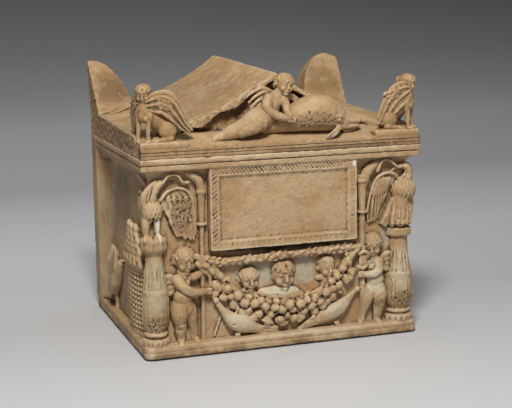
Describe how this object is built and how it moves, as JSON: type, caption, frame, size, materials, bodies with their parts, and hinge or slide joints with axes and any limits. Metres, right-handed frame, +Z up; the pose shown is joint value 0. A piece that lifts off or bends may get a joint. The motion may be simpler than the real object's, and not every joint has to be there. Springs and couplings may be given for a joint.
{
  "type": "cinerary box",
  "caption": "Carved stone ash chest: hollow rectangular box with a gabled lift-off lid, relief figures in front and a raised blank name panel.",
  "frame": {"origin": "on the ground, under the middle of the box's footprint", "axes": "+X to the viewer's right of the carved front, -Y out of the front with the name panel, +Z up"},
  "size_m": [0.5088, 0.4, 0.4833],
  "materials": {
    "chest_marble": "weathered carved marble, matt",
    "lid_marble": "weathered carved marble, rough picked on the sides and back"
  },
  "bodies": {
    "root": {"chest": "chest_marble", "lid": "lid_marble"}
  },
  "joints": []
}
